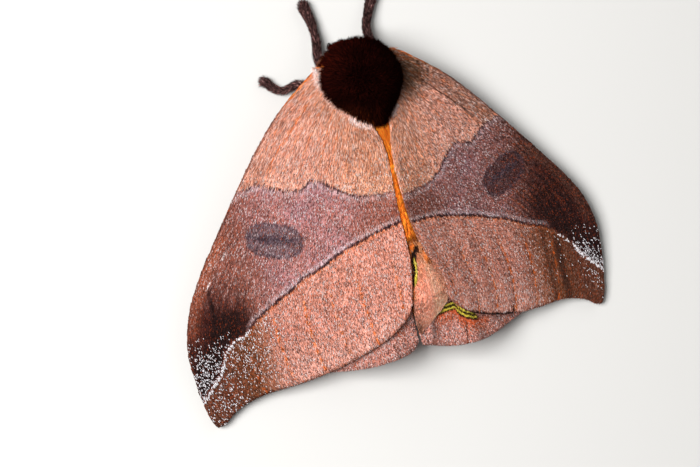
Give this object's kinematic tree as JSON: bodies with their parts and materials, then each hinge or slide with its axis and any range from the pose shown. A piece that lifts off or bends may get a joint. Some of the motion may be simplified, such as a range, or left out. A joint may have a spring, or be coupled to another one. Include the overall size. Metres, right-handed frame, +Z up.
{
  "type": "moth at rest",
  "caption": "Life-size large moth at rest on the floor: forewings held like a low roof over the hindwings and body, furry thorax, tucked antennae and bent legs.",
  "frame": {"origin": "on the floor, at the centre of the moth's bounding box seen from above", "axes": "+X towards the moth's left wing tip, +Y towards its tail, +Z up from the floor it rests on"},
  "size_m": [0.066, 0.0535, 0.0126],
  "materials": {
    "forewing": "soft hair-like scales, matt",
    "hindwing": "soft hair-like scales, matt",
    "thorax": "dense dark fur",
    "head": "dense dark fur",
    "eye": "smooth, faceted too finely to see",
    "abdomen": "short orange fur",
    "leg": "short dark fur",
    "antenna": "matt, hard"
  },
  "bodies": {
    "root": {"head": "head", "eye_left": "eye", "eye_right": "eye", "antenna_left": "antenna", "antenna_right": "antenna", "thorax": "thorax", "abdomen": "abdomen", "forewing_left": "forewing", "forewing_right": "forewing", "hindwing_left": "hindwing", "hindwing_right": "hindwing", "foreleg_left": "leg", "foreleg_right": "leg", "midleg_left": "leg", "midleg_right": "leg", "hindleg_left": "leg", "hindleg_right": "leg"}
  },
  "joints": []
}
